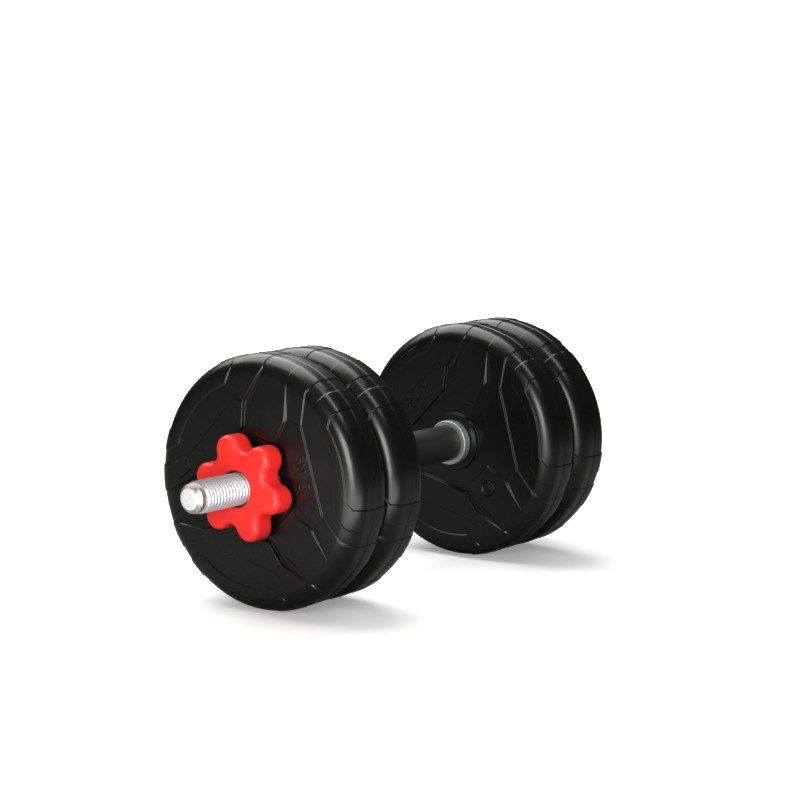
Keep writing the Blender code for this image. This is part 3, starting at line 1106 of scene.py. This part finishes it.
class DUMBBELL_OT_plugs(bpy.types.Operator):
    """Make the plugs that close the filling holes of the plates"""

    bl_idname = "dumbbell.plugs"
    bl_label = "Plugs"

    def execute(self, context):
        plastic = finish_of(context.scene, "plate")
        for place in ("inner", "outer"):
            for side_name, side in SIDES.items():
                node = f"{place}_plate_plug_{side_name}"
                low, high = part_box(node)
                radius = (high.z - low.z) / 2
                depth = high.x - low.x
                dome = PLUG_DOME
                section = [(depth, 0.0), (depth, radius - dome / 2), (depth - dome / 2, radius)]
                section += [(dome, radius), (dome / 3, radius - dome / 3), (0.0, radius - dome)]
                section += [(0.0, radius / 2.2), (dome / 2, radius / 2.6), (dome / 2, 0.0)]
                mesh = crisp(turned(section, PLUG_STEPS, closed=False), f"{place}_plug_{side_name}", plastic)
                start = low.x if side > 0 else high.x
                middle = (low + high) / 2
                put = Matrix.Translation((start, middle.y, middle.z))
                if side < 0:
                    put = put @ Matrix.Rotation(math.pi, 4, "Z")
                mesh.transform(put)
                piece(f"{place}_plug_{side_name}", mesh, f"{place}_plate_{side_name}", "plate_plug", node)
        return {"FINISHED"}


class DUMBBELL_OT_nuts(bpy.types.Operator):
    """Make the star nuts"""

    bl_idname = "dumbbell.nuts"
    bl_label = "Star Nuts"

    def execute(self, context):
        nut = context.scene.dumbbell_nut
        thickness = NUT_END - NUT_START
        recess = WASHER_RADIUS + nut.fit_gap
        pocket = INSERT_RADIUS + nut.fit_gap
        floor = INSERT_START - nut.fit_gap - NUT_START
        lip = thickness - nut.lip
        half = math.pi / nut.lobes
        centre = nut.tip_radius - nut.lobe_radius
        along, across = centre * math.cos(half), centre * math.sin(half)
        hollow = along + math.sqrt((nut.lobe_radius + nut.valley_radius) ** 2 - across**2)
        edge = NUT_BORE_EDGE
        flat_edge = nut.tip_radius - nut.front_round
        section = [(0.0, recess + edge), *arc(edge, recess + edge, edge, 180, 270, 3)[1:]]
        section += [(floor, recess), (floor, pocket), (lip, pocket), (lip, NUT_BORE)]
        section += arc(thickness - edge, NUT_BORE + edge, edge, -90, 0, 4)
        section += [(thickness, NUT_BORE + (flat_edge - NUT_BORE) * i / 6) for i in range(1, 6)]
        section += arc(thickness - nut.front_round, flat_edge, nut.front_round, 0, 90, 12)
        section += arc(nut.back_round, nut.tip_radius - nut.back_round, nut.back_round, 90, 180, 6)
        section += [(0.0, recess + edge + NUT_SEAT_WIDTH)]
        base = mesh_of(turned(section, nut.lobes * 32))
        tree = star_tree()
        for side_name, side in SIDES.items():
            star = grown(tree, {
                "Lobes": nut.lobes, "Turn": getattr(nut, f"turn_{side_name}"),
                "Tip Radius": nut.tip_radius, "Edge Round": nut.front_round,
                "Round Inside": recess + edge, "Lobe Centre": centre,
                "Lobe Radius": nut.lobe_radius,
                "Lobe Reach": half + math.atan2(across, hollow - along),
                "Valley Centre": hollow, "Valley Radius": nut.valley_radius,
                "Material": finish_of(context.scene, "nut"),
            }, base.copy())
            shape = bmesh.new()
            shape.from_mesh(star)
            mesh = crisp(shape, f"nut_{side_name}", finish_of(context.scene, "nut"))
            placed = on_side(mesh, side, NUT_START)
            piece(f"nut_{side_name}", placed, f"nut_{side_name}", "star_nut", f"star_nut_{side_name}")
        return {"FINISHED"}


class DUMBBELL_OT_washers(bpy.types.Operator):
    """Make the rubber washers behind the nuts"""

    bl_idname = "dumbbell.washers"
    bl_label = "Washers"

    def execute(self, context):
        rubber = finish_of(context.scene, "rubber")
        width = WASHER_END - WASHER_START
        section = ring_profile(0.0, width, WASHER_BORE, WASHER_RADIUS, WASHER_EDGE, 4)
        mesh = crisp(turned(section, WASHER_STEPS), "washer", rubber)
        for name, side in SIDES.items():
            placed = on_side(mesh, side, WASHER_START)
            piece(f"washer_{name}", placed, f"washer_{name}", "washer", f"rubber_washer_{name}")
        return {"FINISHED"}


class DUMBBELL_OT_hidden(bpy.types.Operator):
    """Give the hidden inserts and cement cores their finishes"""

    bl_idname = "dumbbell.hidden"
    bl_label = "Inserts and Cores"

    def execute(self, context):
        # The inserts get steel darkened to near black, painted shade for the recess in front of them.
        kept = {"core": "cement", "insert": "dull_steel"}
        for name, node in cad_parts.items():
            for word, finish in kept.items():
                if word in name:
                    node.material_slots[0].material = finish_of(context.scene, finish)
        return {"FINISHED"}


def towards(azimuth, elevation):
    """The direction of azimuth, turned from -Y towards +X, and of elevation above the floor."""
    level = math.cos(elevation)
    return Vector((math.sin(azimuth) * level, -math.cos(azimuth) * level, math.sin(elevation)))


def aim(thing, target):
    thing.rotation_euler = (target - thing.location).to_track_quat("-Z", "Y").to_euler()


class DUMBBELL_OT_stage(bpy.types.Operator):
    """Make the camera, the floor and the studio light"""

    bl_idname = "dumbbell.stage"
    bl_label = "Studio"

    def softbox(self, name, size, brightness, azimuth, elevation, distance):
        """A large lamp that looks at the dumbbell from azimuth and elevation, in degrees."""
        lamp = bpy.data.lights.new(name, "AREA")
        lamp.shape = "RECTANGLE"
        lamp.size, lamp.size_y = size
        lamp.energy = brightness * math.pi * size[0] * size[1]
        shown = bpy.data.objects.new(name, lamp)
        middle = Vector((0.0, 0.0, AXIS_HEIGHT))
        shown.location = middle + towards(math.radians(azimuth), math.radians(elevation)) * distance
        aim(shown, middle)
        shown.visible_camera = False
        bpy.context.scene.collection.objects.link(shown)

    def floor_card(self, name, size, brightness, azimuth, distance):
        """A glowing card on the floor, for the light that a white floor throws up."""
        self.softbox(name, size, brightness, azimuth, 0.0, distance)
        card = bpy.data.objects[name]
        card.location.z = CARD_HEIGHT
        card.rotation_euler = (math.pi, 0.0, math.radians(azimuth))

    def floor(self, scene, colour):
        """A wide pale floor, bright where it is seen and dim where the plates mirror it."""
        shape = bmesh.new()
        bmesh.ops.create_circle(shape, cap_ends=True, segments=RING_STEPS, radius=FLOOR_RADIUS)
        mesh = mesh_of(shape)
        paint = Finish("studio_floor", (0.26, 0.26, 0.26), 0.9, Specular_IOR_Level=0.0)
        seen = paint.nodes.new("ShaderNodeLightPath").outputs["Is Camera Ray"]
        paint.vary_colour(seen, colour)
        length = paint.nodes.new("ShaderNodeVectorMath")
        length.operation = "LENGTH"
        paint.links.new(paint.place, length.inputs[0])
        glow = paint.spread(length.outputs["Value"], 0.25, 1.1, 0.3, 1.6)
        shown = paint.nodes.new("ShaderNodeMath")
        shown.operation = "MULTIPLY"
        paint.links.new(glow, shown.inputs[0])
        paint.links.new(seen, shown.inputs[1])
        paint.shader.inputs["Emission Color"].default_value = (1.0, 1.0, 1.0, 1.0)
        paint.links.new(shown.outputs[0], paint.shader.inputs["Emission Strength"])
        mesh.materials.append(paint.material)
        floor = bpy.data.objects.new("studio_floor", mesh)
        scene.collection.objects.link(floor)

    def air(self, scene):
        """White air behind the floor, which lights the dumbbell only faintly."""
        world = bpy.data.worlds.new("studio_air")
        world.use_nodes = True
        nodes, links = world.node_tree.nodes, world.node_tree.links
        seen = nodes.new("ShaderNodeLightPath").outputs["Is Camera Ray"]
        strength = nodes.new("ShaderNodeMapRange")
        strength.inputs["To Min"].default_value = 0.05
        strength.inputs["To Max"].default_value = 1.1
        links.new(seen, strength.inputs["Value"])
        nodes["Background"].inputs["Color"].default_value = (1.0, 1.0, 1.0, 1.0)
        links.new(strength.outputs["Result"], nodes["Background"].inputs["Strength"])
        scene.world = world

    def execute(self, context):
        scene, stage = context.scene, context.scene.dumbbell_stage
        back = towards(stage.azimuth, stage.elevation)
        camera = bpy.data.objects.new("camera", bpy.data.cameras.new("camera"))
        camera.data.lens = stage.focal_length
        camera.data.sensor_width = 36.0
        camera.location = Vector(stage.look_at) + back * stage.distance
        aim(camera, Vector(stage.look_at))
        scene.collection.objects.link(camera)
        scene.camera = camera
        self.floor(scene, stage.floor_colour)
        self.air(scene)
        scene.view_settings.view_transform = "Standard"
        for name, values in SOFTBOXES.items():
            self.softbox(name, *values)
        self.floor_card("floor_card", *FLOOR_CARD)
        return {"FINISHED"}


class DUMBBELL_PT_panel(bpy.types.Panel):
    """Lists the pieces of the dumbbell"""

    bl_idname = "DUMBBELL_PT_panel"
    bl_label = "Dumbbell"
    bl_space_type = "VIEW_3D"
    bl_region_type = "UI"
    bl_category = "Dumbbell"

    def draw(self, context):
        for step in STEPS:
            self.layout.operator(step.bl_idname)


STEPS = (
    DUMBBELL_OT_bar,
    DUMBBELL_OT_grip,
    DUMBBELL_OT_plates,
    DUMBBELL_OT_plugs,
    DUMBBELL_OT_nuts,
    DUMBBELL_OT_washers,
    DUMBBELL_OT_hidden,
    DUMBBELL_OT_stage,
)


def register():
    for group in SETTINGS.values():
        bpy.utils.register_class(group)
    for name, group in SETTINGS.items():
        setattr(bpy.types.Scene, name, PointerProperty(type=group))
    for step in (*STEPS, DUMBBELL_PT_panel):
        bpy.utils.register_class(step)


def unregister():
    for step in (DUMBBELL_PT_panel, *reversed(STEPS)):
        bpy.utils.unregister_class(step)
    for name, group in reversed(SETTINGS.items()):
        delattr(bpy.types.Scene, name)
        bpy.utils.unregister_class(group)


def main():
    register()
    for step in STEPS:
        group, name = step.bl_idname.split(".")
        getattr(getattr(bpy.ops, group), name)()


if __name__ == "__main__":
    main()
